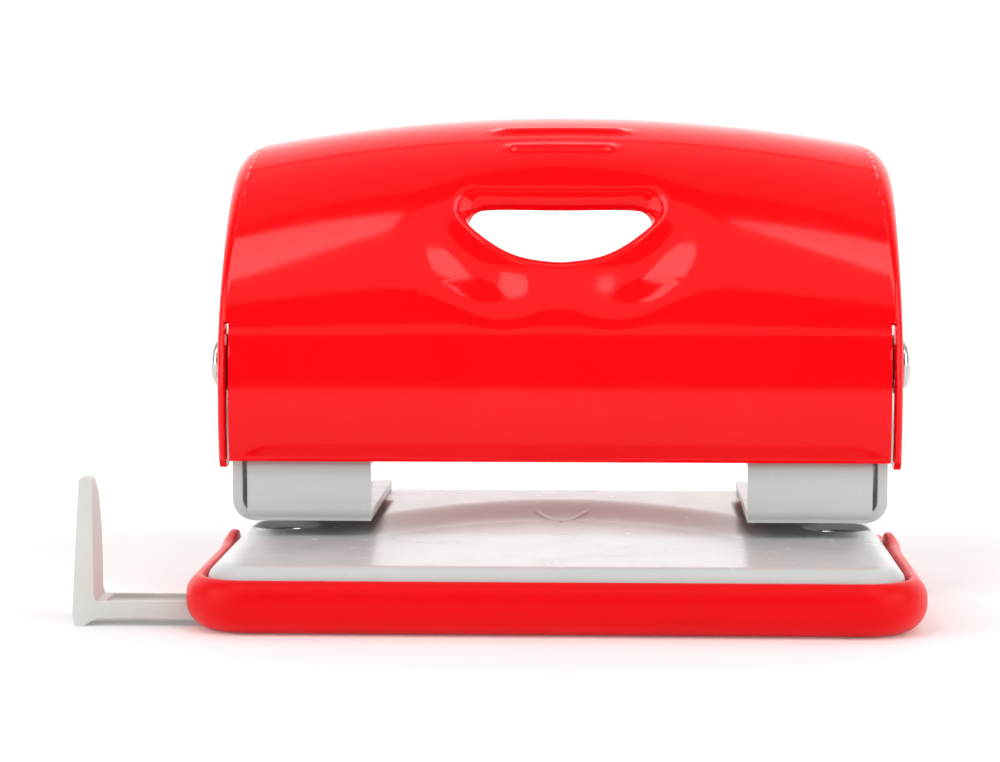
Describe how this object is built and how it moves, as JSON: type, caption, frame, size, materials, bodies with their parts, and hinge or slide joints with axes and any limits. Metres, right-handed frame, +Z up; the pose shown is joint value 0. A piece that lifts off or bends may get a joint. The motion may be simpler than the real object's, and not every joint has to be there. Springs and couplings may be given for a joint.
{
  "type": "hole punch",
  "caption": "Small desk hole punch: bowed steel lever handle with finger window, steel base plate, plastic chip tray and sliding paper guide.",
  "frame": {"origin": "on the supporting surface under the midpoint between the two punch axes", "axes": "+X along the hole line to the user's right, +Y from the user towards the back, +Z up"},
  "size_m": [0.114, 0.0785, 0.0681],
  "materials": {
    "red_paint": "high gloss enamel",
    "silver_paint": "gloss light grey enamel",
    "tray_plastic": "satin",
    "guide_plastic": "fine satin",
    "nickel_steel": "nickel plated",
    "tool_steel": "hardened and oiled",
    "spring_steel": "drawn wire"
  },
  "bodies": {
    "tray": {"chip_tray": "tray_plastic"},
    "guide": {"paper_guide": "guide_plastic"},
    "base": {"base_plate": "silver_paint", "left_die_bush": "nickel_steel", "right_die_bush": "nickel_steel", "left_bracket": "silver_paint", "right_bracket": "silver_paint", "left_bracket_rivet_rear": "nickel_steel", "right_bracket_rivet_rear": "nickel_steel", "left_bracket_rivet_side": "nickel_steel", "right_bracket_rivet_side": "nickel_steel", "left_pivot_rivet": "nickel_steel", "right_pivot_rivet": "nickel_steel", "left_pivot_washer": "nickel_steel", "right_pivot_washer": "nickel_steel", "left_return_spring": "spring_steel", "right_return_spring": "spring_steel"},
    "handle": {"handle_shell": "red_paint", "press_bar": "nickel_steel"},
    "left_punch": {"left_punch_pin": "tool_steel", "left_spring_clip": "tool_steel", "left_stop_clip": "tool_steel"},
    "right_punch": {"right_punch_pin": "tool_steel", "right_spring_clip": "tool_steel", "right_stop_clip": "tool_steel"}
  },
  "joints": [
    {"name": "tray_hinge", "type": "hinge", "parent": "tray", "child": "base", "pos_m": [0, 0.0283, 0.0063], "axis": [-1, 0, 0], "range_deg": [0, 55]},
    {"name": "guide_slide", "type": "slide", "parent": "tray", "child": "guide", "axis": [-1, 0, 0], "range_m": [0, 0.0874]},
    {"name": "handle_press", "type": "hinge", "parent": "base", "child": "handle", "pos_m": [0, -0.009, 0.0332], "axis": [-1, 0, 0], "range_deg": [0, 25], "stiffness_Nm_per_rad": 0.5, "springref_deg": -22.92},
    {"name": "left_punch_slide", "type": "slide", "parent": "base", "child": "left_punch", "axis": [0, 0, -1], "range_m": [0, 0.0039], "deforming": ["left_return_spring"]},
    {"name": "right_punch_slide", "type": "slide", "parent": "base", "child": "right_punch", "axis": [0, 0, -1], "range_m": [0, 0.0039], "deforming": ["right_return_spring"]}
  ],
  "couplings": [
    {"joint": "left_punch_slide", "follows": "handle_press", "m_per_rad": 0.0088},
    {"joint": "right_punch_slide", "follows": "handle_press", "m_per_rad": 0.0088}
  ]
}
